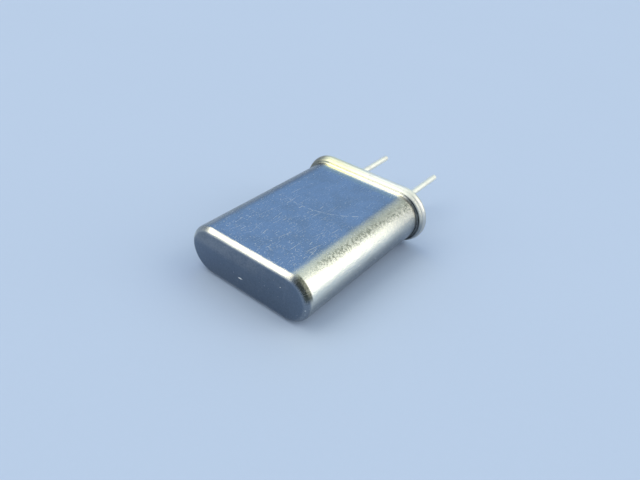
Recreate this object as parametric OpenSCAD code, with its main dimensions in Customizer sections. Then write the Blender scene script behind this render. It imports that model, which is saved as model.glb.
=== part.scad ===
// Quartz crystal unit in a drawn, resistance-welded metal can with two wire leads.
// Every piece is built standing on the base, leads down: X runs across the two leads, Y through the
// two flat sides, Z from the seating plane (z = 0) up to the can's closed end. The finished unit is
// then laid on one flat side, so that Y points up and the leads point along +Y.

/* [Can] */
// Width over the two rounded sides
can_w = 10.2; // [9.4:0.1:10.6]
// Thickness over the two flat sides
can_t = 3.7; // [3.4:0.05:4.1]
// Height from the seating plane to the closed end
can_h = 13.4; // [12.4:0.1:14.4]
// Thickness of the drawn sheet
can_wall = 0.25; // [0.15:0.01:0.3]
// Outer radius round the closed end
crown_r = 0.5; // [0.32:0.02:0.8]
// Radius in the corner where the wall turns out into the flange
flare_r = 0.13; // [0.05:0.01:0.2]
// How far both flanges stand out from the wall
flange_reach = 0.41; // [0.36:0.01:0.6]
// Rounding of the can flange's outer edge
can_rim_r = 0.14; // [0.05:0.01:0.14]

/* [Base] */
// Thickness of the base's flange
base_flange_t = 0.5; // [0.4:0.02:0.7]
// Rounding of the base flange's outer edge at the seating plane
base_rim_r = 0.18; // [0.05:0.01:0.2]
// Rounding of the two flanges' edges where they meet at the weld
seam_r = 0.04; // [0.02:0.01:0.06]
// Height of the raised plug inside the can's mouth
plug_h = 0.8; // [0.5:0.05:1.2]
// Gap between the plug and the can's wall
plug_gap = 0.2; // [0.1:0.02:0.3]
// Rounding of the plug's upper edge
plug_edge_r = 0.15; // [0.05:0.01:0.3]

/* [Glass seals] */
// Diameter of the bores that the glass fills
seal_d = 1.6; // [1.2:0.05:1.9]
// How far the glass stops short of each mouth of its bore
seal_recess = 0.12; // [0.08:0.01:0.16]
// Height of the glass that has crept up the lead
creep_h = 0.1; // [0.05:0.01:0.12]

/* [Leads] */
// Distance between the two leads
lead_pitch = 4.88; // [4.6:0.02:5.1]
// Diameter of the tinned free length
lead_d = 0.5; // [0.4:0.01:0.6]
// Free length below the seating plane, as cut
lead_out = 6.7; // [3:0.1:13]
// Thickness of the tin that the free length was dipped in
tin_t = 0.035; // [0.01:0.005:0.05]
// Rounding left by the cutter round each tip
tip_r = 0.1; // [0.03:0.01:0.15]
// Height of the inner post, from the plug to the top of its head
post_h = 0.9; // [0.6:0.05:1.3]
// Diameter of the flat head on the inner post
head_d = 0.9; // [0.7:0.05:1.1]
// Thickness of that head
head_t = 0.2; // [0.12:0.02:0.3]

/* [Crystal] */
// Diameter of the quartz disc
blank_d = 8; // [7.6:0.1:8.4]
// Thickness of the quartz disc
blank_t = 0.2; // [0.12:0.01:0.3]
// Bevel round both edges of the disc
bevel = 0.04; // [0.02:0.01:0.05]
// Gap between the disc and the clips' feet
blank_gap = 1; // [0.6:0.1:1.4]
// Diameter of the two electrodes
electrode_d = 4.4; // [3.5:0.1:5.5]
// Thickness of the electrodes
electrode_t = 0.02; // [0.01:0.005:0.03]
// Width of each electrode's tab
tab_w = 1; // [0.6:0.1:1.6]

/* [Spring clips] */
// Thickness of the ribbon
clip_t = 0.1; // [0.06:0.01:0.14]
// Width of the ribbon
clip_w = 1.2; // [0.9:0.1:1.6]
// Inside radius of the bend from foot to riser
clip_bend_r = 0.2; // [0.12:0.02:0.35]
// How far the disc's edge stands out of the ribbon's slot
bite = 0.12; // [0.05:0.01:0.2]
// Clearance on each side of the coated disc in the slot
slot_play = 0.04; // [0.02:0.01:0.08]
// Length of slot left free beyond the disc at each end
slot_spare = 0.15; // [0.1:0.05:0.4]
// Length of ribbon above the slot
riser_end = 0.5; // [0.3:0.05:0.8]

/* [Adhesive] */
// Radius of each drop of conductive adhesive
bond_r = 0.42; // [0.34:0.02:0.46]
// Length of each drop along its slot
bond_len = 1.4; // [1:0.1:1.8]

/* [Hidden] */
$fn = 96;
past = 0.1; // how far a cutter runs past the face that it opens

left = -1;
right = 1;
upper = 1;
lower = -1;

end_r = can_t / 2;
core_w = can_w - can_t;
flange_r = end_r + flange_reach;
flange_top = base_flange_t + can_wall;
rim_r = min(can_rim_r, can_wall - seam_r);
mouth_r = end_r - can_wall;
plug_r = mouth_r - plug_gap;
plug_top = base_flange_t + plug_h;
lead_x = lead_pitch / 2;
wire_r = lead_d / 2 - tin_t;
foot_z = plug_top + post_h;
blank_r = blank_d / 2;
blank_z = foot_z + clip_t + blank_gap + blank_r;
riser_out = blank_r - bite;
riser_in = riser_out - clip_t;
slot_half = sqrt(blank_r * blank_r - riser_in * riser_in) + slot_spare;
slot_w = blank_t + 2 * electrode_t + 2 * slot_play;
riser_top = blank_z + slot_half + riser_end;

// Lays the standing unit on its flat side: Y turns up, and the leads along +Y
module laid() rotate([90, 0, 0]) children();

// Corner of a square of side r with the quarter disc round its far corner taken away
module spandrel(r) {
    difference() {
        square(r);
        translate([r, r]) circle(r);
    }
}

// Half section of a slab from the axis to radius r, with its two outer corners rounded
module slab_section(r, z0, z1, low_r, high_r) {
    difference() {
        translate([0, z0]) square([r, z1 - z0]);
        if (low_r > 0) translate([r, z0]) mirror([1, 0]) spandrel(low_r);
        if (high_r > 0) translate([r, z1]) rotate(180) spandrel(high_r);
    }
}

// Sweeps a half section round the stadium whose straight sides are core_w long
module stadium_sweep() {
    for (side = [left, right])
        translate([side * core_w / 2, 0, 0])
            rotate([0, 0, -90 * side]) rotate_extrude(angle = 180) children();
    translate([-core_w / 2, 0, 0])
        rotate([90, 0, 90])
            linear_extrude(height = core_w) {
                children();
                mirror([1, 0]) children();
            }
}

// Outside of the can: flange, flare and wall up to the crown
module can_outside() {
    slab_section(end_r, base_flange_t, can_h, 0, crown_r);
    slab_section(flange_r, base_flange_t, flange_top, seam_r, rim_r);
    translate([end_r, flange_top]) spandrel(flare_r);
}

// Inside of the can: parallel to the outside, and open at the mouth
module can_inside() {
    slab_section(mouth_r, base_flange_t - past, can_h - can_wall, 0, crown_r - can_wall);
    translate([mouth_r, base_flange_t]) spandrel(flare_r + can_wall);
}

// Drawn can: one even wall from the crown down to the edge of the flange
module can() {
    color("#b8bcbd")
        laid() stadium_sweep() difference() {
            can_outside();
            can_inside();
        }
}

// Base: welding flange with a raised plug, bored for the two glass seals
module base() {
    color("#b3ad9f")
        laid() difference() {
            union() {
                stadium_sweep() slab_section(flange_r, 0, base_flange_t, base_rim_r, seam_r);
                stadium_sweep() slab_section(plug_r, 0, plug_top, 0, plug_edge_r);
            }
            for (side = [left, right])
                translate([side * lead_x, 0, -past])
                    cylinder(d = seal_d, h = plug_top + 2 * past);
        }
}

// Bead of glass between the lead and its bore, with glass crept up the lead at both ends
module glass_seal(side) {
    color("#3f6f63")
        laid() translate([side * lead_x, 0, 0]) rotate_extrude() {
            translate([wire_r, seal_recess])
                square([seal_d / 2 - wire_r, plug_top - 2 * seal_recess]);
            translate([wire_r, plug_top - seal_recess]) spandrel(creep_h);
            translate([wire_r, seal_recess]) mirror([0, 1]) spandrel(creep_h);
        }
}

// Lead: tinned free length with a softened tip, bare wire through the glass, and a flat head
module lead(side) {
    color("#c9c5b8")
        laid() translate([side * lead_x, 0, 0]) rotate_extrude() {
            slab_section(lead_d / 2, -lead_out, 0, tip_r, 0);
            square([wire_r, foot_z]);
            translate([0, foot_z - head_t]) square([head_d / 2, head_t]);
        }
}

// Side view of a clip: a foot on the lead's head, a bend, and a riser along the disc's edge
module clip_side_view() {
    outer_r = clip_bend_r + clip_t;
    bend_x = riser_out - outer_r;
    bend_z = foot_z + outer_r;
    foot_x = lead_x - head_d / 2;
    translate([foot_x, foot_z]) square([bend_x - foot_x, clip_t]);
    translate([riser_in, bend_z]) square([clip_t, riser_top - bend_z]);
    intersection() {
        translate([bend_x, bend_z]) difference() {
            circle(outer_r);
            circle(clip_bend_r);
        }
        translate([bend_x, foot_z]) square(outer_r);
    }
}

// Right-hand clip with its slot, standing
module clip_body() {
    difference() {
        translate([0, clip_w / 2, 0])
            rotate([90, 0, 0]) linear_extrude(height = clip_w) clip_side_view();
        translate([riser_in - past, -slot_w / 2, blank_z - slot_half])
            cube([clip_t + 2 * past, slot_w, 2 * slot_half]);
    }
}

// The right-hand clip as it is, or its mirror image on the left
module clip_at(side) mirror([side == left ? 1 : 0, 0, 0]) clip_body();

module spring_clip(side) {
    color("#d8d2c2") laid() clip_at(side);
}

// Quartz disc standing on edge between the clips, with a bevel round both faces
module blank_body() {
    translate([0, 0, blank_z]) rotate([90, 0, 0]) rotate_extrude() difference() {
        translate([0, -blank_t / 2]) square([blank_r, blank_t]);
        for (face = [lower, upper])
            translate([blank_r, face * blank_t / 2]) rotate(45)
                square(bevel * sqrt(2), center = true);
    }
}

module quartz_blank() {
    color("#dfe9ee", 0.6) laid() blank_body();
}

// Metal film on one face of the disc, with a tab that runs to the clip on the given side
module electrode_body(face, side) {
    tab_r = blank_r - 2 * bevel;
    translate([0, face * (blank_t + electrode_t) / 2, blank_z])
        rotate([90, 0, 0]) linear_extrude(height = electrode_t, center = true) {
            circle(d = electrode_d);
            intersection() {
                circle(tab_r);
                translate([side == left ? -tab_r : 0, -tab_w / 2]) square([tab_r, tab_w]);
            }
        }
}

module electrode(face, side) {
    color("#e6e2d6") laid() electrode_body(face, side);
}

// Drop of adhesive round the slot, cut to fit the clip, the disc and the tab that it joins
module bond(side, face) {
    color("#8f9193")
        laid() difference() {
            translate([side * (riser_in + clip_t / 2), 0, blank_z]) rotate_extrude() {
                straight = bond_len - 2 * bond_r;
                translate([0, -straight / 2]) square([bond_r, straight]);
                for (end = [lower, upper])
                    intersection() {
                        translate([0, end * straight / 2]) circle(bond_r);
                        translate([0, -bond_len]) square([bond_r, 2 * bond_len]);
                    }
            }
            clip_at(side);
            blank_body();
            electrode_body(face, side);
        }
}

can();
base();
glass_seal(left);  // left_glass_seal
glass_seal(right);  // right_glass_seal
lead(left);  // left_lead
lead(right);  // right_lead
spring_clip(left);  // left_spring_clip
spring_clip(right);  // right_spring_clip
quartz_blank();
electrode(upper, right);  // upper_electrode
electrode(lower, left);  // lower_electrode
bond(left, lower);  // left_bond
bond(right, upper);  // right_bond
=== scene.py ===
"""Two-lead quartz crystal in a drawn and welded metal can: finish, studio and camera."""

import math
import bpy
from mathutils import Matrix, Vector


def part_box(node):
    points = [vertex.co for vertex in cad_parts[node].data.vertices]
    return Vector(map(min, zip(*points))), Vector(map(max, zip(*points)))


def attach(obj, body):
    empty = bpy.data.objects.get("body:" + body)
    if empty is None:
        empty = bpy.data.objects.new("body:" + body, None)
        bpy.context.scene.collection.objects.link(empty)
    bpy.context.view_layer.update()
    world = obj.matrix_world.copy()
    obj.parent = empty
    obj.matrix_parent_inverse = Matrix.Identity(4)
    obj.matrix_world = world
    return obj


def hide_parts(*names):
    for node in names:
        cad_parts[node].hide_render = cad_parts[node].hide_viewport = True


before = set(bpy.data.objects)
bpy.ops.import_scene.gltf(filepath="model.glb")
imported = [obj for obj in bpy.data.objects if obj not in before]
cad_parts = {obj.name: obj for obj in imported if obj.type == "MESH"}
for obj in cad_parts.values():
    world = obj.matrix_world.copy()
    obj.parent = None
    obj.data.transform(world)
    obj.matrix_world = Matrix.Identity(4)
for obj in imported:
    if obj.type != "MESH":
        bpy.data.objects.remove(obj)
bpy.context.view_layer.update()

from types import SimpleNamespace

import bmesh
import bpy
from bpy.props import FloatProperty, FloatVectorProperty, IntProperty, PointerProperty
from mathutils import Matrix, Quaternion, Vector

bl_info = {
    "name": "Crystal Oscillator",
    "version": (1, 0, 0),
    "blender": (4, 5, 0),
    "location": "3D View > Sidebar > Crystal",
    "description": "Dresses a two-lead crystal in a welded can and sets up its studio",
    "category": "Object",
}

MM = 0.001
BODY = "root"
PICTURE_PX = (640, 480)
SENSOR_MM = 36.0

CAN_LOW, CAN_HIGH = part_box("can")
BASE_LOW, BASE_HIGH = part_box("base")
LEAD_LOW, LEAD_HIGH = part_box("right_lead")


# ---- sizes and colours


def number(name, default, description, **kind):
    """A setting that holds one number."""
    return FloatProperty(name=name, default=default, description=description, **kind)


def length(name, default, description):
    """A length in metres, shown in the scene's unit."""
    return number(name, default, description, min=0.0, precision=6, unit="LENGTH")


def place(name, default, description):
    """A position along an axis, in metres, on either side of zero."""
    return number(name, default, description, precision=6, unit="LENGTH")


def angle(name, default, description):
    """An angle, given in degrees."""
    return number(name, math.radians(default), description, subtype="ANGLE")


def share(name, default, description):
    """A plain number from 0 to 1."""
    return number(name, default, description, min=0.0, max=1.0, subtype="FACTOR")


def count(name, default, least, description):
    """A whole number of divisions."""
    return IntProperty(name=name, default=default, min=least, description=description)


def colour(name, default, description):
    """A linear colour."""
    return FloatVectorProperty(
        name=name, description=description, default=default, min=0.0, max=1.0, size=3,
        subtype="COLOR",
    )


class CanShape(bpy.types.PropertyGroup):
    """Sizes of the drawn can."""

    width: length("Width", 10.2 * MM, "Width over the two rounded sides")
    depth: length("Depth", 3.7 * MM, "Thickness over the two flat sides")
    height: length("Height", -CAN_LOW.y, "Height from the seating plane to the closed end")
    sheet: length("Sheet", 0.25 * MM, "Thickness of the drawn sheet")
    crown: length("Crown radius", 0.5 * MM, "Outer radius round the closed end")
    flare: length("Flare radius", 0.13 * MM, "Corner between the wall and the flange")
    reach: length("Flange reach", 0.41 * MM, "How far the flange stands out from the wall")
    rim: length("Rim radius", 0.12 * MM, "Rounding of the flange's outer edge")
    taper: length("Edge taper", 0.1 * MM, "How far the flange's outer edge leans back")
    seam: length("Seam radius", 0.025 * MM, "Rounding where the two flanges meet")
    steps: count("Steps", 48, 8, "Divisions in a quarter turn of the rounded sides")
    corner_steps: count("Corner steps", 10, 2, "Divisions in each rounded corner")


class BaseShape(bpy.types.PropertyGroup):
    """Sizes of the base and its glass seals."""

    flange: length("Flange", -CAN_HIGH.y, "Thickness of the base's flange")
    rim: length("Rim radius", 0.18 * MM, "Rounding of the flange at the seating plane")
    swell: length("Edge swell", 0.07 * MM, "How far the flange's edge swells past the seam")
    swell_at: length("Swell height", 0.32 * MM, "Height at which the edge has swollen fully")
    swell_round: length("Swell radius", 0.45 * MM, "Rounding of the swollen edge")
    plug_gap: length("Plug gap", 0.2 * MM, "Gap between the plug and the can's wall")
    plug_top: length("Plug top", -BASE_LOW.y, "Height of the plug's upper face")
    plug_edge: length("Plug edge", 0.15 * MM, "Rounding of the plug's upper edge")
    bore: length("Bore", 1.6 * MM, "Diameter of the bores that the glass fills")
    recess: length("Recess", 0.12 * MM, "How far the glass stops short of each mouth")
    creep: length("Creep", 0.1 * MM, "Height of the glass crept up each lead")


class LeadShape(bpy.types.PropertyGroup):
    """Sizes of the two leads."""

    pitch: length("Pitch", LEAD_LOW.x + LEAD_HIGH.x, "Distance between the two leads")
    diameter: length("Diameter", 0.5 * MM, "Diameter of the tinned free length")
    tin: length("Tin", 0.035 * MM, "Thickness of the tin on the free length")
    out: length("Free length", LEAD_HIGH.y, "Length below the seating plane, as cut")
    tip: length("Tip radius", 0.1 * MM, "Rounding left by the cutter")
    post: length("Post", -LEAD_LOW.y, "Height of the head's upper face")
    head: length("Head", 0.9 * MM, "Diameter of the head inside the can")
    head_thick: length("Head thickness", 0.2 * MM, "Thickness of that head")
    head_rim: length("Head rounding", 0.03 * MM, "Rounding of the head's edges")
    steps: count("Steps", 12, 4, "Divisions in a quarter turn of the round parts")
    corner_steps: count("Corner steps", 6, 2, "Divisions in each rounded corner")


class MetalLook(bpy.types.PropertyGroup):
    """Colours and finish of the metal pieces."""

    nickel: colour("Nickel", (0.54, 0.52, 0.475), "Plated can")
    nickel_dull: colour("Dulled nickel", (0.38, 0.375, 0.33), "Stained parts of the can")
    tarnish: colour("Tarnish", (0.42, 0.38, 0.29), "Thin brown stain along the flat sides")
    scratch: colour("Scratch", (0.93, 0.92, 0.87), "Bright metal in a scratch")
    base_metal: colour("Base metal", (0.57, 0.555, 0.52), "Plated base")
    # Painted reflection: the darker tone of the closed end, the crown's lower part and the lower
    # sides stands in for a dark floor mirrored there; the plating is the same nickel.
    painted_dark_reflection: colour("Closed end", (0.15, 0.19, 0.245), "Less burnished plating on the end")
    end_grain: colour("End grain", (0.1, 0.125, 0.16), "Dark grains on the closed end")
    # Painted reflection: a dark surrounding mirrored in the crown at the end's right corner.
    corner: colour("Corner", (0.06, 0.065, 0.045), "Dark wedge at the end's right corner")
    # Painted reflection: a dark tone over the upper part of the left rounded side.
    painted_left_reflection: colour("Left side", (0.2, 0.225, 0.24), "Upper part of the left rounded side")
    # Painted shade in the crevice at the wall's foot.
    painted_crevice_shade: colour("Crevice", (0.09, 0.095, 0.09), "Shade between the wall and the flange")
    speck: colour("Speck", (0.7, 0.7, 0.68), "Small specks of dust")
    fired_base: colour("Fired base", (0.4, 0.37, 0.3), "Base darkened by heat round the glass")
    base_scratch: colour("Base scratch", (0.85, 0.82, 0.75), "Bright metal in a base scratch")
    # Strained bend: partly dark grains, partly a painted dark reflection in a band beside the flat
    # sides.
    bend: colour("Strained bend", (0.12, 0.135, 0.1), "Dark grains along the rounded sides")
    scorch: colour("Weld scorch", (0.2, 0.18, 0.135), "Brown heat stain at one end of the weld")
    # Weld: pale strained plating on the flange, also the tone of painted highlights on the
    # flange's upper side, the strip beside it, the crown's upper edge and the rounded sides.
    weld: colour("Weld", (0.95, 0.925, 0.8), "Pale, strained plating on the flange")
    warm_weld: colour("Warm weld", (0.95, 0.9, 0.58), "Straw tint of the weld at its hot end")
    straw: colour("Straw tint", (0.72, 0.64, 0.42), "Heat tint on the flat sides by the weld")
    tin: colour("Tin", (0.96, 0.925, 0.8), "Tinned leads")
    spring: colour("Spring metal", (0.62, 0.58, 0.49), "Spring clips")
    silver: colour("Silver", (0.86, 0.84, 0.8), "Electrode films")
    flat_rough: share("Flat roughness", 0.21, "Roughness of the clean flat sides")
    side_rough: share("Side roughness", 0.24, "Roughness of the strained, grainy sides")


class StudioLook(bpy.types.PropertyGroup):
    """Floor, lamps and surroundings."""

    floor: colour("Floor", (0.51, 0.595, 0.735), "Pale floor")
    horizon: colour("Horizon", (0.485, 0.60, 0.765), "Surroundings at eye level")
    middle: colour("Middle", (0.41, 0.49, 0.615), "Surroundings at mid height")
    card: colour("Blue card", (0.228, 0.432, 0.865), "Card that the flat side reflects")
    backdrop: colour("Pale screen", (0.84, 0.97, 0.93), "Pale screen high up beyond the leads")
    zenith: colour("Overhead", (0.6, 0.66, 0.74), "Surroundings overhead")
    floor_size: length("Floor size", 8.0, "Length of the floor's sides")
    lamp_distance: length("Lamp distance", 3.0, "Distance from the object to each lamp")


class CameraPlace(bpy.types.PropertyGroup):
    """Where the camera stands, from the point along the can that it is aimed by."""

    azimuth: angle("Azimuth", 36.224, "Turn from the view along the leads")
    elevation: angle("Elevation", 35.624, "Height above the flat side")
    roll: angle("Roll", 4.299, "Lean of the camera about its own line of sight")
    distance: length("Distance", 39.203 * MM, "Distance to the aiming point")
    right: place("Right", 0.124 * MM, "Shift to the camera's right")
    up: place("Up", -0.956 * MM, "Shift to the camera's top")
    aim: place("Aim", -6.0 * MM, "Aiming point along the can, from the seating plane")
    focal_px: number("Focal length", 545.1, "Focal length in picture points", min=1.0)


# ---- node building


class Tree:
    """Short hand for adding and joining nodes in a shader or geometry tree."""

    def __init__(self, tree):
        self.tree = tree

    def add(self, kind, values=None, **settings):
        """A node with its settings, and its inputs set or joined by name or number."""
        node = self.tree.nodes.new(kind)
        for key, value in settings.items():
            setattr(node, key, value)
        for key, value in (values or {}).items():
            socket = node.inputs[key]
            if isinstance(value, bpy.types.NodeSocket):
                self.tree.links.new(value, socket)
            else:
                socket.default_value = value
        return node

    def join(self, source, target):
        self.tree.links.new(source, target)

    def geometry(self, kind, values=None, **settings):
        """First output of a geometry node."""
        return self.add("GeometryNode" + kind, values, **settings).outputs[0]

    def math(self, operation, a, b=0.0, c=0.0, clamp=False):
        """One Math node's result."""
        return self.add(
            "ShaderNodeMath", {0: a, 1: b, 2: c}, operation=operation, use_clamp=clamp
        ).outputs[0]

    def chain(self, operation, parts):
        """Several values joined one after the other by the same operation."""
        result = parts[0]
        for part in parts[1:]:
            result = self.math(operation, result, part)
        return result

    def total(self, *parts):
        """Sum of several values."""
        return self.chain("ADD", parts)

    def product(self, *parts):
        """Product of several values."""
        return self.chain("MULTIPLY", parts)

    def most(self, *parts):
        """Largest of several values."""
        return self.chain("MAXIMUM", parts)

    def less(self, value, taken):
        """One value less another."""
        return self.math("SUBTRACT", value, taken)

    def rest(self, value):
        """What a share leaves of the whole."""
        return self.less(1.0, value)

    def size(self, value):
        """A value without its sign."""
        return self.math("ABSOLUTE", value)

    def weighted(self, start, *pairs):
        """A start value, and each value of a pair times its weight."""
        for value, weight in pairs:
            start = self.math("MULTIPLY_ADD", value, weight, start)
        return start

    def layers(self, *pairs):
        """Sum of each value of a pair times its weight, such as a bump's heights."""
        return self.total(*(self.product(*pair) for pair in pairs))

    def hypot(self, a, b):
        """Length of the line whose two sides are given."""
        return self.math("SQRT", self.total(self.product(a, a), self.product(b, b)))

    def vector(self, operation, a, b, output="Vector"):
        """One Vector Math node's vector, or its value."""
        return self.add("ShaderNodeVectorMath", {0: a, 1: b}, operation=operation).outputs[output]

    def split(self, vector):
        """X, Y and Z of a vector."""
        return self.add("ShaderNodeSeparateXYZ", {0: vector}).outputs

    def combine(self, x=0.0, y=0.0, z=0.0):
        """Vector of three values."""
        return self.add("ShaderNodeCombineXYZ", {0: x, 1: y, 2: z}).outputs[0]

    def step(self, value, low, high, to_low=0.0, to_high=1.0):
        """Smooth step between two limits, which may fall as well as rise."""
        return self.add(
            "ShaderNodeMapRange",
            {0: value, 1: low, 2: high, 3: to_low, 4: to_high},
            interpolation_type="SMOOTHSTEP",
        ).outputs[0]

    def mix(self, factor, a, b):
        """Mixed colour."""
        node = self.add("ShaderNodeMix", {0: factor}, data_type="RGBA")
        for index, value in ((6, a), (7, b)):
            if isinstance(value, bpy.types.NodeSocket):
                self.join(value, node.inputs[index])
            else:
                node.inputs[index].default_value = (*value, 1.0)
        return node.outputs[2]

    def coats(self, tone, *layers):
        """A tone under others, each given with the share of it that shows."""
        for shown, over in layers:
            tone = self.mix(shown, tone, over)
        return tone

    def blend(self, factor, a, b):
        """Mixed value."""
        return self.add("ShaderNodeMix", {0: factor, 2: a, 3: b}, data_type="FLOAT").outputs[0]

    def noise(self, vector, scale, detail=3.0, roughness=0.6):
        """Noise from 0 to 1."""
        values = {"Vector": vector, "Scale": scale, "Detail": detail, "Roughness": roughness}
        return self.add("ShaderNodeTexNoise", values).outputs[0]

    def cells(self, vector, scale, randomness=1.0, **settings):
        """Distance, colour and position of Voronoi cells."""
        values = {"Vector": vector, "Scale": scale, "Randomness": randomness}
        return self.add("ShaderNodeTexVoronoi", values, **settings).outputs

    def moved(self, vector, *shift):
        """A vector moved, so that a pattern on it differs from the same one elsewhere."""
        return self.vector("ADD", vector, shift)

    def scaled(self, vector, *scale):
        """A vector scaled along each axis, so that a pattern on it is drawn out."""
        return self.vector("MULTIPLY", vector, scale)


class Finish(Tree):
    """A new material: its tree, its surface shader and object coordinates in millimetres."""

    def __init__(self, name):
        self.material = bpy.data.materials.new(name)
        self.material.use_nodes = True
        self.material.node_tree.nodes.clear()
        super().__init__(self.material.node_tree)
        self.surface = self.add("ShaderNodeBsdfPrincipled")
        self.join(self.surface.outputs[0], self.add("ShaderNodeOutputMaterial").inputs[0])
        where = self.add("ShaderNodeTexCoord").outputs["Object"]
        scaling = {"Vector": where, "Scale": (1 / MM,) * 3}
        self.mm = self.add("ShaderNodeMapping", scaling).outputs[0]

    def dress(self, tone, rough, height, values):
        """The material, with its colour, roughness, bump in millimetres and plain values."""
        bump = self.add("ShaderNodeBump", {"Height": height, "Distance": MM}).outputs[0]
        for name, source in (("Base Color", tone), ("Roughness", rough), ("Normal", bump)):
            self.join(source, self.surface.inputs[name])
        for name, value in values.items():
            self.surface.inputs[name].default_value = value
        return self.material


def group_tree(name, kind, inputs, outputs):
    """A node group with named sockets, and its tree, or None where it is made already."""
    group = bpy.data.node_groups.get(name)
    if group:
        return group, None
    group = bpy.data.node_groups.new(name, kind)
    for way, sockets in (("INPUT", inputs), ("OUTPUT", outputs)):
        for label, socket in sockets.items():
            group.interface.new_socket(label, in_out=way, socket_type="NodeSocket" + socket)
    return group, Tree(group)


def scratch_group():
    """Short scratches that lean from Y by up to half the spread, one at most in each cell."""
    group, t = group_tree(
        "Random Scratches",
        "ShaderNodeTree",
        {"Place": "Vector", "Cell": "Float", "Thickness": "Float", "Share": "Float",
         "Spread": "Float"},
        {"Scratch": "Float"},
    )
    if t is None:
        return group
    given = t.add("NodeGroupInput").outputs
    shrunk = t.add("ShaderNodeVectorMath", {0: given["Place"]}, operation="SCALE")
    t.join(t.math("DIVIDE", 1.0, given["Cell"]), shrunk.inputs["Scale"])
    cell = t.cells(shrunk.outputs[0], 1.0, 0.9, voronoi_dimensions="2D")
    apart = t.vector("SUBTRACT", shrunk.outputs[0], cell["Position"])
    chance = t.split(cell["Color"])
    lean = t.product(t.less(chance[0], 0.5), given["Spread"])
    turned = t.add(
        "ShaderNodeVectorRotate",
        {"Vector": apart, "Axis": (0.0, 0.0, 1.0), "Angle": t.total(lean, math.pi / 2)},
        rotation_type="AXIS_ANGLE",
    )
    along, across, _ = t.split(turned.outputs[0])
    # further random numbers come from the digits behind those that the cell gives
    bow = t.less(t.math("FRACT", t.product(chance[2], 7.3)), 0.5)
    bent = t.total(across, t.product(along, along, bow, 0.07))
    reach = t.weighted(0.12, (chance[1], 0.4))
    on_line = t.step(t.math("DIVIDE", t.size(along), reach), 1.0, 0.55)
    thin = t.math("DIVIDE", given["Thickness"], given["Cell"])
    in_width = t.step(t.math("DIVIDE", t.size(bent), thin), 1.0, 0.3)
    kept = t.math("LESS_THAN", chance[2], given["Share"])
    depth = t.weighted(0.3, (t.math("FRACT", t.product(chance[0], 5.7)), 0.7))
    t.join(t.product(on_line, in_width, kept, depth), t.add("NodeGroupOutput").inputs[0])
    return group


def scratches(t, where, cell, thickness, amount, spread=math.tau):
    """Scratches on a plane, sizes in millimetres, for that share of the cells."""
    return t.add(
        "ShaderNodeGroup",
        {"Place": where, "Cell": cell, "Thickness": thickness, "Share": amount,
         "Spread": spread},
        node_tree=scratch_group(),
    ).outputs[0]


# ---- finishes

# Limits and sizes in the finishes are millimetres, in the frame's own axes.

METAL = {"Metallic": 1.0}


def stadium_places(t, look, shape):
    """Where a point lies on the can or base, the tints that the weld gave to both, which also
    carry painted highlights, and where painted light fades at the rounded ends.
    """
    p = SimpleNamespace()
    p.end_r = shape.depth / 2 / MM
    p.half_flat = (shape.width - shape.depth) / 2 / MM
    p.x, p.y, p.z = t.split(t.mm)
    p.out = t.size(p.x)
    p.beyond = t.most(t.less(p.out, p.half_flat), 0.0)
    p.from_axis = t.hypot(p.beyond, p.z)
    # painted light fading towards the rounded ends
    p.fade = t.step(p.beyond, 0.6, 1.4, 1.0, 0.3)
    # pale tone of the weld, also used for painted highlights
    p.pale = t.mix(t.step(p.x, 1.5, -p.half_flat), look.weld, look.warm_weld)
    p.hot_end = t.step(p.x, -p.half_flat - 0.15, -p.half_flat - 1.2)
    return p


def can_places(t, look, shape, base):
    """Masks of the can's faces, with its wall and closed end unrolled onto one plane."""
    p = stadium_places(t, look, shape)
    p.end = -shape.height / MM
    crown = shape.crown / MM
    p.bend_end = p.end + crown
    weld = -(base.flange + shape.sheet) / MM

    turn = t.math("ARCTAN2", p.beyond, t.size(p.z))
    around = t.weighted(t.math("MINIMUM", p.out, p.half_flat), (turn, p.end_r))
    below = t.math("LESS_THAN", p.z, 0.0)
    # the lower side and the end lie far along the plane, clear of the upper side's pattern
    wrap = t.weighted(t.product(around, t.math("SIGN", p.x)), (below, 47.0))
    p.on_end = t.step(p.y, p.end + 0.08, p.end + 0.01)
    p.unrolled = t.combine(
        t.blend(p.on_end, wrap, t.total(p.x, 91.0)), t.blend(p.on_end, p.y, p.z)
    )
    p.off_end = t.rest(p.on_end)
    p.side = t.product(t.step(p.out, p.half_flat - 0.1, p.half_flat + 0.45), p.off_end)
    p.on_flat = t.rest(p.side)
    p.crown = t.step(p.y, p.bend_end + 0.05, p.end + crown * 0.6)
    p.flange = t.step(p.y, weld - shape.flare / MM, weld + 0.03)
    p.rim = t.product(p.flange, t.step(p.from_axis, p.end_r + 0.16, p.end_r + 0.24))
    p.near = t.step(p.y, -10.6, -12.6)

    p.cloud = t.noise(t.mm, 0.55, 4.0)
    p.patch = t.noise(t.moved(t.mm, 17.0, 3.0, 8.0), 1.9, 5.0, 0.65)
    p.grain = t.noise(t.mm, 8.0, 3.0, 0.68)
    p.mottle = t.noise(t.moved(t.mm, 5.0, 9.0, 2.0), 4.6, 4.0, 0.72)
    p.pits = t.noise(t.mm, 21.0, 2.0)
    p.fine = t.noise(t.scaled(t.mm, 0.1, 1.0, 1.0), 16.0, 2.0, 0.5)
    return p


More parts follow.
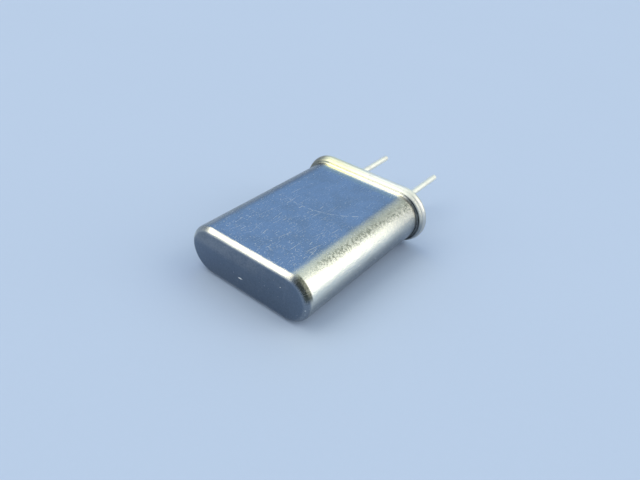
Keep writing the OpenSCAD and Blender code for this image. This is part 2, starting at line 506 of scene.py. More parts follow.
def can_scratches(t, p):
    """Scratches of four sizes, worn most far from the weld, and one long bowed scratch."""
    drawn = t.scaled(p.unrolled, 1.0, 0.42, 1.0)
    tiny = scratches(t, p.unrolled, 0.15, 0.015, 0.42)
    small = scratches(t, t.moved(drawn, 7.9, 4.6, 0.0), 0.3, 0.013, 0.42, 1.9)
    medium = scratches(t, t.moved(drawn, 5.9, 2.7, 0.0), 0.75, 0.013, 0.75, 1.3)
    long = scratches(t, t.moved(drawn, 1.7, 8.4, 0.0), 1.9, 0.018, 0.9, 0.8)
    marks = t.most(tiny, t.product(small, 0.8), medium, long)
    worn = t.product(t.step(p.patch, 0.36, 0.6, 0.35, 1.0), t.step(p.y, -3.0, -8.5, 0.3, 1.0))
    marks = t.product(marks, worn, t.blend(p.side, 1.0, 0.25), t.blend(p.on_end, 1.0, 0.12))

    centre, radius = (-1.05, -1.6, 0.0), 5.37
    from_centre = t.vector("DISTANCE", t.combine(p.x, p.y), centre, "Value")
    off_arc = t.size(t.less(from_centre, radius))
    ragged = t.step(t.noise(t.mm, 3.2, 3.0, 0.7), 0.4, 0.6)
    bow = t.product(
        t.step(off_arc, 0.085, 0.01), ragged, t.step(p.z, 1.5, 1.7),
        t.step(p.y, -4.9, -5.4), t.step(p.x, -3.0, -2.0),
    )
    return t.most(marks, t.product(bow, 0.46))


def end_nicks(t, p):
    """Two nicks in the closed end, each an ellipse that may lean."""
    nicks = []
    # place, half length and half width, lean
    for (at_x, at_z), (half_long, half_wide), lean in (
        ((-0.42, -0.545), (0.24, 0.055), 0.1), ((2.99, 0.695), (0.05, 0.04), 0.0),
    ):
        aside = t.less(p.x, at_x)
        u = t.math("DIVIDE", aside, half_long)
        v = t.math("DIVIDE", t.less(t.less(p.z, at_z), t.product(aside, lean)), half_wide)
        nicks.append(t.step(t.total(t.product(u, u), t.product(v, v)), 1.0, 0.1))
    return t.product(t.most(*nicks), p.on_end)


def dust_specks(t, p):
    """Few small round specks, fainter on the closed end."""
    dust = t.cells(p.unrolled, 2.6, voronoi_dimensions="2D")
    radius = t.product(t.math("POWER", t.split(dust["Color"])[0], 5.0), 0.1)
    speck = t.math("LESS_THAN", dust["Distance"], radius)
    return t.product(speck, t.blend(p.on_end, 1.0, 0.2))


def worn_plating(t, look, p):
    """Plating dulled in clouds and grains, a painted dark reflection on the end, stained along the
    bends.
    """
    dull = t.product(t.step(p.cloud, 0.42, 0.66), 0.45)
    grainy = t.step(t.weighted(p.grain, (p.pits, 0.6)), 0.7, 0.9)
    strained = t.product(p.side, grainy, t.blend(p.near, 1.0, 0.5))
    # share of the painted dark reflection on the end, uneven and darker towards the right
    uneven = t.weighted(t.total(p.mottle, p.cloud), (p.x, 0.1))
    painted_reflection_share = t.step(uneven, 0.5, 1.5, 0.7, 1.0)
    by_bend = t.size(t.less(p.out, p.half_flat + 0.12))
    stain = t.product(t.step(by_bend, 0.3, 0.04), t.step(p.cloud, 0.3, 0.62), 0.35, p.off_end)
    return t.coats(
        look.nickel, (t.math("ADD", dull, strained, clamp=True), look.nickel_dull),
        (t.product(p.on_end, painted_reflection_share), look.painted_dark_reflection), (stain, look.tarnish),
    )


def side_tones(t, look, p, tone):
    """Rounded sides: a painted highlight growing towards the closed end, dark grains partly
    painted as a dark reflection, and a painted highlight band.
    """
    bent = t.total(t.weighted(p.beyond, (p.y, -0.022)), -0.13)
    # dark mottled band beside the flat sides, none near the closed end, partly grain and partly a
    # painted dark reflection
    bend = t.product(
        t.step(bent, 0.55, 0.9), t.step(bent, 1.4, 1.15), t.step(p.mottle, 0.46, 0.58),
        t.step(p.y, -12.4, -10.0), p.off_end,
    )
    # painted highlight: a pale band where the side mirrors the key lamp, weaker towards the flange
    polished = t.product(
        t.step(p.x, p.half_flat + 0.95, p.half_flat + 1.35), t.step(p.z, 0.15, 0.7),
        t.step(p.y, -1.5, -5.5, 0.3, 1.0), p.off_end, 0.6,
    )
    # painted highlights in the weld's pale tone: over the sides towards the closed end, and the
    # band
    return t.coats(
        tone, (t.product(p.side, t.step(p.y, -3.5, -12.0), 0.36), look.weld),
        (t.product(bend, 0.75), look.bend), (polished, look.weld),
    )


def end_tones(t, look, p, tone):
    """Crown and closed end: a painted highlight on the upper edge, painted dark reflections below,
    on the left side and at the right corner, and dark grains on the end.
    """
    # painted highlight along the crown's upper edge, in the weld's pale tone
    bright = t.product(
        t.step(p.y, p.end + 0.36, p.end + 0.24), p.off_end, t.step(p.z, 0.9, 1.3), p.on_flat, 0.42,
    )
    # painted dark reflection along the upper part of the left rounded side
    left = t.product(t.step(p.x, -p.half_flat, -p.half_flat - 0.4), t.step(p.z, 0.6, 1.3), 0.68)
    # painted dark reflection on the crown's lower part and at its right corner, and on the lower
    # rounded sides
    low = t.most(t.step(p.z, 0.85, 0.2), t.step(p.x, p.half_flat + 0.3, p.half_flat + 0.6))
    painted_low_reflection = t.product(p.side, t.step(p.z, 0.55, -0.25), 0.6)
    # painted reflection: a mottled dark wedge on the crown at the right corner
    corner = t.product(
        t.step(p.y, p.bend_end + 0.22, p.bend_end + 0.08), t.step(p.y, p.end + 0.05, p.end + 0.18),
        t.step(p.x, p.half_flat + 0.3, p.half_flat + 0.9), t.step(p.z, 0.25, 0.75),
        t.step(t.total(p.fine, p.pits), 0.75, 1.1, 0.8, 1.0),
    )
    return t.coats(
        tone, (bright, look.weld), (left, look.painted_left_reflection),
        (t.most(t.product(p.crown, low, 0.9), painted_low_reflection), look.painted_dark_reflection), (corner, look.corner),
        (t.product(p.on_end, t.step(p.grain, 0.42, 0.66), 0.4), look.end_grain),
    )


def weld_tones(t, look, p, heat, tone):
    """Straw band beside the weld, pale flange and strip with a painted highlight on their upper
    side, painted shade at the foot of the wall, scorch at one end.
    """
    straw = t.product(t.step(p.y, -1.9, -1.35), t.step(p.y, -1.0, -1.2), p.on_flat, 0.7)
    # painted highlight: the flange's pale tone is full over the flat sides, weaker low down and
    # fading at the rounded ends
    painted_light_side = t.product(t.most(p.on_flat, t.step(p.z, -0.2, 1.0, 0.35, 1.0)), p.fade)
    strained = t.step(p.patch, 0.35, 0.7, 0.7, 0.85)
    weld = t.product(p.flange, strained, t.blend(p.rim, 1.0, 1.18), painted_light_side)
    # painted shade at the foot of the wall beside the flange, darker towards the right end
    painted_crevice_shade = t.product(
        t.step(p.y, -0.98, -0.84), t.rest(p.rim), t.step(p.beyond, 0.3, 1.2),
        t.step(p.patch, 0.3, 0.55, 0.7, 1.0), t.step(p.x, -1.0, 1.0, 0.25, 1.0),
    )
    scorched = t.product(p.flange, p.hot_end, t.step(p.patch, 0.3, 0.6, 0.6, 0.85))
    # the strip passed in as heat is a painted highlight beside the flange, not a heat tint
    return t.coats(
        tone, (straw, look.straw), (t.most(weld, heat), p.pale), (painted_crevice_shade, look.painted_crevice_shade),
        (scorched, look.scorch),
    )


def nickel_can(look, shape, base):
    """Bright nickel on a drawn can: scratched flat sides and grainy, strained rounded sides."""
    t = Finish("nickel_can")
    p = can_places(t, look, shape, base)
    marks = can_scratches(t, p)
    nicks = end_nicks(t, p)
    speck = dust_specks(t, p)
    # painted highlight: a bright strip on the flat sides beside the flange, in the weld's pale
    # tone
    heat = t.product(t.step(p.y, -1.38, -1.08), p.on_flat, t.step(p.patch, 0.3, 0.5, 0.6, 0.9))
    sparkle = t.step(t.weighted(p.pits, (p.grain, 0.4)), 0.72, 0.86)

    tone = side_tones(t, look, p, worn_plating(t, look, p))
    tone = weld_tones(t, look, p, heat, end_tones(t, look, p, tone))
    tone = t.coats(
        tone, (t.product(sparkle, 0.4, p.off_end, t.blend(p.side, 1.0, 0.4)), look.scratch),
        (t.most(t.product(marks, 0.85), nicks), look.scratch), (speck, look.speck),
    )
    rough = t.weighted(
        t.blend(p.side, look.flat_rough, look.side_rough), (t.less(p.cloud, 0.5), 0.12),
        (marks, 0.55), (p.rim, 0.18), (heat, 0.06), (nicks, 0.5),
    )
    rough = t.math("MULTIPLY_ADD", speck, 0.3, rough, clamp=True)
    deep = t.product(p.side, t.blend(p.near, 0.018, 0.014))
    height = t.layers(
        (p.grain, t.total(t.product(p.flange, 0.004), 0.0012, deep)),
        (p.pits, t.blend(p.side, 0.0004, 0.01)), (p.fine, t.blend(p.crown, 0.0002, 0.008)),
        (p.cloud, 0.006), (marks, -0.004), (nicks, -0.03),
    )
    return t.dress(tone, rough, height, METAL)


def header_metal(look, shape, leads):
    """Plating on the stamped base: rolling lines, pale welded rim with a painted highlight on its
    upper side, dark heat round the glass.
    """
    t = Finish("header_metal")
    p = stadium_places(t, look, shape)
    # painted highlight: the pale rim and tint are kept on the upper side and over the middle,
    # fading at the rounded ends
    painted_light_side = t.most(t.step(p.z, -0.2, 1.0, 0.35, 1.0), t.step(p.beyond, 0.5, 0.2))
    painted_light_side = t.product(painted_light_side, p.fade)
    rim = t.product(t.step(p.from_axis, p.end_r + 0.12, p.end_r + 0.3), painted_light_side)
    cloud = t.noise(t.mm, 0.8, 4.0)
    grain = t.noise(t.mm, 12.0)
    rolled = t.noise(t.scaled(t.mm, 0.12, 1.0, 1.6), 14.0)
    # moved along, so that its scratches differ from the can's
    face = t.combine(t.total(p.x, 31.0), p.z)
    marks = t.most(scratches(t, face, 0.42, 0.016, 0.35), scratches(t, face, 1.3, 0.02, 0.7))

    by_lead = t.hypot(t.less(p.out, leads.pitch / 2 / MM), p.z)
    # pale tint towards the seam, partly the weld's own tint, partly a painted highlight on the
    # upper side
    tint = t.product(t.step(p.y, -0.1, -0.4), t.step(cloud, 0.35, 0.65, 0.4, 0.9), painted_light_side)
    edge = t.step(p.from_axis, p.end_r + 0.05, p.end_r + 0.3)
    scorched = t.product(edge, p.hot_end, t.step(cloud, 0.3, 0.6, 0.6, 0.85))
    tone = t.coats(
        look.base_metal, (t.step(cloud, 0.35, 0.75, 0.0, 0.4), look.nickel_dull),
        (t.step(by_lead, 0.85, 1.5, 0.55, 0.0), look.fired_base),
        (t.most(tint, t.product(rim, 0.85)), p.pale), (scorched, look.scorch),
        (t.product(marks, 0.7), look.base_scratch),
    )
    rough = t.weighted(0.2, (grain, 0.1), (cloud, 0.1), (rim, 0.2), (marks, 0.3))
    height = t.layers((grain, 0.004), (rolled, 0.006), (cloud, 0.03), (marks, -0.002))
    return t.dress(tone, rough, height, METAL)


def tinned_wire(look, shape):
    """Dull dipped tin over drawn wire, with warm bare metal at the cut tips."""
    t = Finish("tinned_wire")
    drawn = t.noise(t.scaled(t.mm, 1.0, 0.07, 1.0), 22.0)
    lumps = t.noise(t.scaled(t.mm, 1.0, 0.5, 1.0), 3.2, 3.0, 0.55)
    grain = t.noise(t.mm, 30.0, 2.0)
    end = shape.out / MM
    cut = t.step(t.split(t.mm)[1], end - 0.03, end - 0.004)
    sheared = t.noise(t.scaled(t.mm, 1.0, 1.0, 6.0), 12.0)
    tone = t.coats(
        look.tin, (t.step(lumps, 0.42, 0.7), (0.84, 0.8, 0.7)),
        (t.product(t.step(drawn, 0.55, 0.75), 0.35), (0.56, 0.52, 0.45)),
        (t.product(cut, 0.8), (0.6, 0.52, 0.42)),
    )
    rough = t.weighted(0.42, (lumps, 0.2), (grain, 0.08), (cut, 0.12))
    height = t.total(
        t.layers((drawn, 0.0022), (lumps, 0.009), (grain, 0.0009)), t.product(sheared, cut, 0.008)
    )
    return t.dress(tone, rough, height, METAL)


def fired_glass():
    """Dark green-black glass with a fire-polished skin and small bubbles."""
    t = Finish("fired_glass")
    cloud = t.noise(t.mm, 2.6)
    ripple = t.noise(t.mm, 1.6, 2.0, 0.5)
    bubble = t.cells(t.mm, 7.0)
    radius = t.product(t.math("POWER", t.split(bubble["Color"])[0], 3.0), 0.35)
    inside = t.step(t.less(bubble["Distance"], radius), 0.0, -0.06)
    tone = t.coats(
        (0.012, 0.034, 0.028), (t.step(cloud, 0.35, 0.7), (0.03, 0.075, 0.06)),
        (t.product(inside, 0.5), (0.11, 0.17, 0.15)),
    )
    return t.dress(
        tone, t.weighted(0.06, (cloud, 0.12)), t.layers((ripple, 0.02), (inside, -0.004)),
        {"IOR": 1.54, "Coat Weight": 0.4, "Coat Roughness": 0.05},
    )


def spring_ribbon(look):
    """Rolled spring ribbon, brushed along its length."""
    t = Finish("spring_ribbon")
    brushed = t.noise(t.scaled(t.mm, 1.0, 0.08, 1.0), 26.0)
    cloud = t.noise(t.mm, 1.4, 4.0)
    tone = t.coats(
        look.spring, (t.step(cloud, 0.4, 0.7), (0.5, 0.45, 0.36)),
        (t.product(t.step(brushed, 0.55, 0.8), 0.5), (0.75, 0.71, 0.62)),
    )
    height = t.layers((brushed, 0.0025), (cloud, 0.004))
    return t.dress(tone, t.weighted(0.2, (brushed, 0.18)), height, {**METAL, "Anisotropic": 0.35})


def lapped_quartz():
    """Lapped and etched quartz: clear inside, with a frosted, finely pitted face."""
    t = Finish("lapped_quartz")
    etched = t.noise(t.mm, 34.0, 3.0, 0.65)
    cloud = t.noise(t.mm, 0.9)
    pit = t.step(t.cells(t.mm, 15.0)["Distance"], 0.2, 0.0)
    tone = t.mix(cloud, (0.88, 0.92, 0.94), (0.8, 0.86, 0.88))
    rough = t.weighted(0.3, (etched, 0.2), (cloud, 0.1))
    height = t.layers((etched, 0.0025), (pit, -0.002))
    return t.dress(tone, rough, height, {"IOR": 1.544, "Transmission Weight": 0.75})


def silver_film(look):
    """Evaporated silver that copies the etched face below it and yellows towards its rim."""
    t = Finish("silver_film")
    etched = t.noise(t.mm, 34.0, 3.0, 0.65)
    cloud = t.noise(t.mm, 1.3, 4.0)
    low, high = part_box("quartz_blank")
    off = t.vector("DISTANCE", t.mm, tuple((low + high) / 2 / MM), "Value")
    tone = t.coats(
        look.silver, (t.product(t.step(cloud, 0.4, 0.7), 0.5), (0.74, 0.7, 0.62)),
        (t.step(off, 1.7, 2.2, 0.0, 0.6), (0.78, 0.7, 0.55)),
    )
    return t.dress(tone, t.weighted(0.22, (etched, 0.16)), t.layers((etched, 0.0016)), METAL)


def silver_adhesive():
    """Cured grey adhesive filled with silver flakes."""
    t = Finish("silver_adhesive")
    flakes = t.cells(t.mm, 26.0)
    chance = t.split(flakes["Color"])
    bright = t.step(chance[0], 0.55, 0.8)
    lumps = t.noise(t.mm, 4.0, 4.0)
    tone = t.coats(
        (0.36, 0.36, 0.355), (lumps, (0.52, 0.515, 0.5)),
        (t.product(bright, 0.7), (0.78, 0.77, 0.74)),
    )
    t.join(t.product(bright, 0.85), t.surface.inputs["Metallic"])
    rough = t.weighted(0.38, (chance[1], 0.25))
    return t.dress(tone, rough, t.layers((lumps, 0.02), (flakes["Distance"], 0.003)), {})


def pale_card(look):
    """Pale matt card with a faint tooth."""
    t = Finish("pale_card")
    tooth = t.noise(t.mm, 3.0)
    cloud = t.noise(t.mm, 0.03)
    uneven = t.weighted(t.product(cloud, 0.5), (tooth, 0.4))
    darker = tuple(c * 0.965 for c in look.floor)
    tone = t.mix(uneven, look.floor, darker)
    rough = t.weighted(0.85, (tooth, 0.1))
    return t.dress(tone, rough, t.layers((tooth, 0.004)), {"Specular IOR Level": 0.2})


# ---- swept forms

SWEEP = "Section Sweep"
BORES = "Lead Bores"
ROUNDING = "rounding"
TOUCHING = 0.0001 * MM  # points closer than this are one


def finished(t, geometry, finish, limit=0.6):
    """Ends a tree: real geometry in its finish, smooth but where an edge bends past the limit."""
    faces = t.geometry("SetShadeSmooth", {"Geometry": geometry})
    bend = t.geometry("InputMeshEdgeAngle")
    sharp = t.add("FunctionNodeCompare", {0: bend, 1: limit}, operation="GREATER_THAN").outputs[0]
    edges = {"Geometry": faces, "Selection": sharp, "Shade Smooth": False}
    shaded = t.geometry("SetShadeSmooth", edges, domain="EDGE")
    real = t.geometry("RealizeInstances", {"Geometry": shaded})
    done = t.geometry("SetMaterial", {"Geometry": real, "Material": finish})
    t.join(done, t.add("NodeGroupOutput").inputs[0])


def sweep_tree():
    """Sweeps a section with rounded corners round a stadium, or round a circle at zero length."""
    group, t = group_tree(
        SWEEP,
        "GeometryNodeTree",
        {"Section": "Geometry", "Straight Length": "Float", "End Radius": "Float",
         "Turn Points": "Int", "Corner Steps": "Int", "Finish": "Material"},
        {"Shell": "Geometry"},
    )
    if t is None:
        return group
    given = t.add("NodeGroupInput").outputs
    circle = {"Resolution": given["Turn Points"], "Radius": given["End Radius"]}
    ring = t.geometry("CurvePrimitiveCircle", circle, mode="RADIUS")
    path = t.geometry("SetCurveNormal", {"Curve": ring}, mode="Z_UP")
    sided = t.add("GeometryNodeCaptureAttribute", {"Geometry": path}, domain="POINT")
    sided.capture_items.new("FLOAT", "Side")
    across = t.split(t.geometry("InputPosition"))[0]
    t.join(t.math("SIGN", across), sided.inputs["Side"])
    line = t.geometry("MeshToCurve", {"Mesh": given["Section"]})
    radius = t.geometry("InputNamedAttribute", {"Name": ROUNDING}, data_type="FLOAT")
    rounded = t.geometry(
        "FilletCurve",
        {"Curve": line, "Count": given["Corner Steps"], "Radius": radius, "Limit Radius": True},
        mode="POLY",
    )
    turned = t.geometry("CurveToMesh", {"Curve": sided.outputs[0], "Profile Curve": rounded})
    half = t.product(given["Straight Length"], 0.5)
    apart = t.combine(t.product(sided.outputs["Side"], half))
    stretched = t.geometry("SetPosition", {"Geometry": turned, "Offset": apart})
    whole = t.geometry("MergeByDistance", {"Geometry": stretched, "Distance": TOUCHING})
    outwards = t.geometry("FlipFaces", {0: whole})
    clean = t.geometry("RemoveAttribute", {"Geometry": outwards, "Name": ROUNDING})
    finished(t, clean, given["Finish"])
    return group


def bore_tree():
    """Cuts a row of round bores, at an even pitch, through a plate."""
    group, t = group_tree(
        BORES,
        "GeometryNodeTree",
        {"Plate": "Geometry", "Bores": "Int", "Pitch": "Float", "Diameter": "Float",
         "Depth": "Float", "Sides": "Int", "Finish": "Material"},
        {"Bored Plate": "Geometry"},
    )
    if t is None:
        return group
    given = t.add("NodeGroupInput").outputs
    spread = t.product(t.less(given["Bores"], 1.0), given["Pitch"])
    first = t.combine(t.product(spread, -0.5))
    row = t.geometry(
        "MeshLine",
        {"Count": given["Bores"], "Start Location": first, "Offset": t.combine(given["Pitch"])},
    )
    radius = t.product(given["Diameter"], 0.5)
    drill = t.geometry(
        "MeshCylinder", {"Vertices": given["Sides"], "Radius": radius, "Depth": given["Depth"]}
    )
    drills = t.geometry("InstanceOnPoints", {"Points": row, "Instance": drill})
    cutters = t.geometry("RealizeInstances", {"Geometry": drills})
    bored = t.geometry(
        "MeshBoolean", {"Mesh 1": given["Plate"], "Mesh 2": cutters},
        operation="DIFFERENCE", solver="EXACT",
    )
    finished(t, bored, given["Finish"])
    return group


def add_nodes(obj, group, values):
    """A Geometry Nodes modifier with its inputs set by their identifiers."""
    modifier = obj.modifiers.new(group.name, "NODES")
    modifier.node_group = group
    for item in group.interface.items_tree:
        if item.item_type == "SOCKET" and item.in_out == "INPUT" and item.name in values:
            modifier[item.identifier] = values[item.name]


def section_object(name, corners, end_radius, closed=False):
    """A section from its corners: (distance from the axis, height, rounding)."""
    mesh = bpy.data.meshes.new(name + "_section")
    points = [(r - end_radius, h, 0.0) for r, h, _ in corners]
    edges = [(i, i + 1) for i in range(len(points) - 1)]
    if closed:
        edges.append((len(points) - 1, 0))
    mesh.from_pydata(points, edges, [])
    rounding = mesh.attributes.new(ROUNDING, "FLOAT", "POINT")
    rounding.data.foreach_set("value", [c[2] for c in corners])
    obj = bpy.data.objects.new(name, mesh)
    bpy.context.scene.collection.objects.link(obj)
    return obj


def plain_mesh(obj, across):
    """Bakes a standing object's modifiers and lays it on its flat side, heights along -Y."""
    even = obj.modifiers.new("Even shading", "WEIGHTED_NORMAL")
    even.keep_sharp = True
    graph = bpy.context.evaluated_depsgraph_get()
    mesh = bpy.data.meshes.new_from_object(obj.evaluated_get(graph), depsgraph=graph)
    name = obj.name
    bpy.data.objects.remove(obj)
    lay = Matrix.Rotation(-math.pi / 2, 4, "X")
    mesh.transform(Matrix.Translation((across, 0.0, 0.0)) @ lay)
    mesh.name = name
    check = bmesh.new()
    check.from_mesh(mesh)
    open_edges = sum(1 for e in check.edges if len(e.link_faces) != 2)
    volume = check.calc_volume(signed=True)
    check.free()
    if open_edges or volume <= 0.0:
        raise RuntimeError(f"{name} has {open_edges} open edges and a volume of {volume}")
    piece = bpy.data.objects.new(name, mesh)
    bpy.context.scene.collection.objects.link(piece)
    return piece


def swept(name, corners, straight, end_radius, shape, finish, closed=False):
    """A standing object whose section is swept round its axis, in the shape's divisions."""
    obj = section_object(name, corners, end_radius, closed)
    # four quarters and two more points, so that none stands at x = 0, which is on neither side
    add_nodes(obj, sweep_tree(), {
        "Straight Length": straight, "End Radius": end_radius, "Finish": finish,
        "Turn Points": 4 * shape.steps + 2, "Corner Steps": shape.corner_steps,
    })
    return obj


def both_sides(leads):
    """The name and the place across of each lead."""
    return ("left", -leads.pitch / 2), ("right", leads.pitch / 2)


def hand_over(obj, node, across=0.0):
    """Bakes a piece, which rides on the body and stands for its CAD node."""
    piece = plain_mesh(obj, across)
    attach(piece, BODY)
    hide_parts(node)


# ---- operators


class CRYSTAL_OT_add_can(bpy.types.Operator):
    """Make the drawn can with its crown, flare and welded flange"""

    bl_idname = "crystal.add_can"
    bl_label = "Add Can"

    def execute(self, context):
        can = context.scene.crystal_can
        base = context.scene.crystal_base
        end_r = can.depth / 2
        seam_r = end_r + can.reach - base.swell
        flange_top = base.flange + can.sheet
        mouth_r = end_r - can.sheet
        corners = [
            (0.0, can.height, 0.0),
            (end_r, can.height, can.crown),
            (end_r, flange_top, can.flare),
            (seam_r - can.taper, flange_top, can.rim),
            (seam_r, base.flange, can.seam),
            (mouth_r, base.flange, can.flare + can.sheet),
            (mouth_r, can.height - can.sheet, can.crown - can.sheet),
            (0.0, can.height - can.sheet, 0.0),
        ]
        finish = nickel_can(context.scene.crystal_metal, can, base)
        shell = swept("can_shell", corners, can.width - can.depth, end_r, can, finish)
        hand_over(shell, "can")
        return {"FINISHED"}


class CRYSTAL_OT_add_base(bpy.types.Operator):
    """Make the stamped base with its flange, plug and two bores"""

    bl_idname = "crystal.add_base"
    bl_label = "Add Base"

    def execute(self, context):
        can = context.scene.crystal_can
        base = context.scene.crystal_base
        leads = context.scene.crystal_lead
        end_r = can.depth / 2
        flange_r = end_r + can.reach
        plug_r = end_r - can.sheet - base.plug_gap
        corners = [
            (0.0, base.plug_top, 0.0),
            (plug_r, base.plug_top, base.plug_edge),
            (plug_r, base.flange, 0.0),
            (flange_r - base.swell, base.flange, can.seam),
            (flange_r, base.swell_at, base.swell_round),
            (flange_r, 0.0, base.rim),
            (0.0, 0.0, 0.0),
        ]
        finish = header_metal(context.scene.crystal_metal, can, leads)
        header = swept("base_header", corners, can.width - can.depth, end_r, can, finish)
        # each drill's middle is on the seating plane, and it passes both faces of the plug
        add_nodes(header, bore_tree(), {
            "Bores": 2, "Pitch": leads.pitch, "Diameter": base.bore, "Depth": 4 * base.plug_top,
            "Sides": 4 * leads.steps + 2, "Finish": finish,
        })
        hand_over(header, "base")
        return {"FINISHED"}


class CRYSTAL_OT_add_seals(bpy.types.Operator):
    """Make the two beads of glass that hold the leads in their bores"""

    bl_idname = "crystal.add_seals"
    bl_label = "Add Glass Seals"

    def execute(self, context):
        base = context.scene.crystal_base
        leads = context.scene.crystal_lead
        wire_r = leads.diameter / 2 - leads.tin
        bore_r = base.bore / 2
        low, high = base.recess, base.plug_top - base.recess
        corners = [
            (wire_r, high + base.creep, 0.0),
            (wire_r, high, base.creep),
            (bore_r, high, 0.0),
            (bore_r, low, 0.0),
            (wire_r, low, base.creep),
            (wire_r, low - base.creep, 0.0),
        ]
        finish = fired_glass()
        for side, across in both_sides(leads):
            bead = swept(f"{side}_glass_bead", corners, 0.0, bore_r, leads, finish, closed=True)
            hand_over(bead, f"{side}_glass_seal", across)
        return {"FINISHED"}


class CRYSTAL_OT_add_leads(bpy.types.Operator):
    """Make the two cut leads, with their bare posts and heads inside the can"""

    bl_idname = "crystal.add_leads"
    bl_label = "Add Leads"

    def execute(self, context):
        lead = context.scene.crystal_lead
        tinned_r = lead.diameter / 2
        wire_r = tinned_r - lead.tin
        head_r = lead.head / 2
        under = lead.post - lead.head_thick
        corners = [
            (0.0, lead.post, 0.0),
            (head_r, lead.post, lead.head_rim),
            (head_r, under, lead.head_rim),
            (wire_r, under, 0.0),
            (wire_r, 0.0, 0.0),
            (tinned_r, 0.0, 0.0),
            (tinned_r, -lead.out, lead.tip),
            (0.0, -lead.out, 0.0),
        ]
        finish = tinned_wire(context.scene.crystal_metal, lead)
        for side, across in both_sides(lead):
            wire = swept(f"{side}_wire", corners, 0.0, tinned_r, lead, finish)
            hand_over(wire, f"{side}_lead", across)
        return {"FINISHED"}


class CRYSTAL_OT_finish_holder(bpy.types.Operator):
    """Give the clips, disc, electrodes and adhesive inside the can their finishes"""

    bl_idname = "crystal.finish_holder"
    bl_label = "Finish Holder"

    def execute(self, context):
        look = context.scene.crystal_metal
        ribbon = spring_ribbon(look)
        film = silver_film(look)
        drop = silver_adhesive()
        finishes = {
            "left_spring_clip": ribbon,
            "right_spring_clip": ribbon,
            "quartz_blank": lapped_quartz(),
            "upper_electrode": film,
            "lower_electrode": film,
            "left_bond": drop,
            "right_bond": drop,
        }
        for node, finish in finishes.items():
            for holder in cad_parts[node].material_slots:
                holder.material = finish
        return {"FINISHED"}


def resting_floor(can, base):
    """Tilt about X, and depth, of a floor under the flange's rim and the crown's lower edge."""
    end_r = can.depth / 2
    rim = Vector((-(base.flange + can.sheet - can.rim), -(end_r + can.reach - can.rim)))
    crown = Vector((-(can.height - can.crown), -(end_r - can.crown)))
    span = rim - crown
    tilt = math.asin((can.rim - can.crown) / span.length) - math.atan2(span.y, span.x)
    return tilt, rim.dot(Vector((math.sin(tilt), math.cos(tilt)))) - can.rim


class CRYSTAL_OT_set_stage(bpy.types.Operator):
    """Set the pale floor, the surroundings and the soft lamps"""

    bl_idname = "crystal.set_stage"
    bl_label = "Set Stage"

    # name, direction, width and height in degrees, radiance, colour, lean in degrees
    LAMPS = (
        ("key", (0.733, 0.476, 0.485), 38.0, 53.0, 1.8, (1.0, 0.975, 0.86), 9.0),
        ("front", (-0.50, -0.66, 0.56), 36.0, 42.0, 1.35, (1.0, 0.97, 0.82)),
        ("left", (-0.46, -0.1, 0.88), 39.0, 42.0, 1.7, (1.0, 0.97, 0.8)),
    )
    LIT_POINT = Vector((0.0, -5.0 * MM, 0.0))  # where the lamps point, inside the can

    def execute(self, context):
        scene = context.scene
        look = scene.crystal_studio
        self.lay_floor(scene, look)
        self.set_world(scene, look)
        for lamp in self.LAMPS:
            self.hang_lamp(scene, look, *lamp)
        scene.view_settings.view_transform = "Standard"
        return {"FINISHED"}

    def lay_floor(self, scene, look):
        tilt, depth = resting_floor(scene.crystal_can, scene.crystal_base)
        mesh = bpy.data.meshes.new("floor")
        shape = bmesh.new()
        bmesh.ops.create_grid(shape, x_segments=8, y_segments=8, size=look.floor_size / 2)
        shape.to_mesh(mesh)
        shape.free()
        up = Vector((0.0, math.sin(tilt), math.cos(tilt)))
        mesh.transform(Matrix.Translation(up * depth) @ Matrix.Rotation(-tilt, 4, "X"))
        mesh.materials.append(pale_card(look))
        floor = bpy.data.objects.new("floor", mesh)
        scene.collection.objects.link(floor)

    def set_world(self, scene, look):
        world = bpy.data.worlds.new("studio")
        scene.world = world
        world.use_nodes = True
        world.node_tree.nodes.clear()
        t = Tree(world.node_tree)
        way = t.add("ShaderNodeTexCoord").outputs["Generated"]
        high = t.split(way)[2]
        card = self.towards(t, way, (-0.53, 0.65, 0.54), 0.82, 0.9)
        screen = self.towards(t, way, (0.12, 0.67, 0.73), 0.88, 0.955)
        tone = t.coats(
            look.horizon, (t.step(high, 0.08, 0.34), look.middle),
            (t.step(high, 0.72, 0.95), look.zenith),
            (t.product(card, t.step(high, 0.13, 0.38)), look.card), (screen, look.backdrop),
        )
        sky = t.add("ShaderNodeBackground", {0: tone, 1: 1.0})
        t.join(sky.outputs[0], t.add("ShaderNodeOutputWorld").inputs[0])

    def towards(self, t, way, centre, edge, core):
        """Soft disc of the surroundings round a direction, its limits given as cosines."""
        unit = tuple(Vector(centre).normalized())
        return t.step(t.vector("DOT_PRODUCT", way, unit, "Value"), edge, core)

    def hang_lamp(self, scene, look, name, way, wide, tall, radiance, tint, lean=0.0):
        lamp = bpy.data.lights.new(name + "_lamp", "AREA")
        lamp.shape = "RECTANGLE"
        lamp.size = 2 * look.lamp_distance * math.tan(math.radians(wide) / 2)
        lamp.size_y = 2 * look.lamp_distance * math.tan(math.radians(tall) / 2)
        lamp.energy = radiance * math.pi * lamp.size * lamp.size_y
        lamp.color = tint
        holder = bpy.data.objects.new(name + "_lamp", lamp)
        back = Vector(way).normalized()
        holder.location = self.LIT_POINT + back * look.lamp_distance
        turn = (-back).to_track_quat("-Z", "Y") @ Quaternion((0.0, 0.0, 1.0), -math.radians(lean))
        holder.rotation_euler = turn.to_euler()
        holder.visible_camera = False
        scene.collection.objects.link(holder)


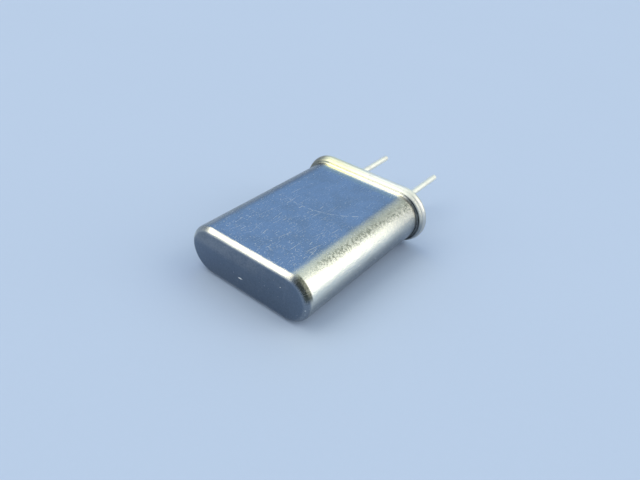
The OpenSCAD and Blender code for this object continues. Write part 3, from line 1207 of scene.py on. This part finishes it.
class CRYSTAL_OT_set_camera(bpy.types.Operator):
    """Stand the camera over the closed end, looking down across the flat side"""

    bl_idname = "crystal.set_camera"
    bl_label = "Set Camera"

    def execute(self, context):
        scene = context.scene
        view = scene.crystal_camera
        level = math.cos(view.elevation)
        back = Vector((
            math.sin(view.azimuth) * level,
            -math.cos(view.azimuth) * level,
            math.sin(view.elevation),
        ))
        across = (-back).cross(Vector((0.0, 0.0, 1.0))).normalized()
        above = across.cross(-back)
        right = math.cos(view.roll) * across + math.sin(view.roll) * above
        up = -math.sin(view.roll) * across + math.cos(view.roll) * above
        spot = Vector((0.0, view.aim, 0.0)) + back * view.distance
        spot = spot + right * view.right + up * view.up
        data = bpy.data.cameras.new("camera")
        data.sensor_width = SENSOR_MM
        data.lens = view.focal_px * SENSOR_MM / PICTURE_PX[0]
        data.clip_start, data.clip_end = 1.0 * MM, 10.0
        camera = bpy.data.objects.new("camera", data)
        turn = Matrix((right, up, back)).transposed().to_4x4()
        camera.matrix_world = Matrix.Translation(spot) @ turn
        scene.collection.objects.link(camera)
        scene.camera = camera
        return {"FINISHED"}


OPERATORS = (
    CRYSTAL_OT_add_can,
    CRYSTAL_OT_add_base,
    CRYSTAL_OT_add_seals,
    CRYSTAL_OT_add_leads,
    CRYSTAL_OT_finish_holder,
    CRYSTAL_OT_set_stage,
    CRYSTAL_OT_set_camera,
)

SETTINGS = (
    ("crystal_can", CanShape),
    ("crystal_base", BaseShape),
    ("crystal_lead", LeadShape),
    ("crystal_metal", MetalLook),
    ("crystal_studio", StudioLook),
    ("crystal_camera", CameraPlace),
)


class CRYSTAL_PT_build(bpy.types.Panel):
    """Steps that build the crystal, in order, and its settings"""

    bl_idname = "CRYSTAL_PT_build"
    bl_label = "Crystal Oscillator"
    bl_space_type = "VIEW_3D"
    bl_region_type = "UI"
    bl_category = "Crystal"

    def draw(self, context):
        for step in OPERATORS:
            self.layout.operator(step.bl_idname)
        for name, kind in SETTINGS:
            box = self.layout.box()
            for key in kind.__annotations__:
                box.prop(getattr(context.scene, name), key)


CLASSES = (*(kind for _, kind in SETTINGS), *OPERATORS, CRYSTAL_PT_build)


def register():
    """Adds the classes, and the settings to the scene."""
    for kind in CLASSES:
        bpy.utils.register_class(kind)
    for name, kind in SETTINGS:
        setattr(bpy.types.Scene, name, PointerProperty(type=kind))


def unregister():
    """Takes the settings and the classes out again."""
    for name, _ in reversed(SETTINGS):
        delattr(bpy.types.Scene, name)
    for kind in reversed(CLASSES):
        bpy.utils.unregister_class(kind)


def main():
    """Builds the crystal step by step."""
    register()
    for step in OPERATORS:
        family, name = step.bl_idname.split(".")
        getattr(getattr(bpy.ops, family), name)()


if __name__ == "__main__":
    main()
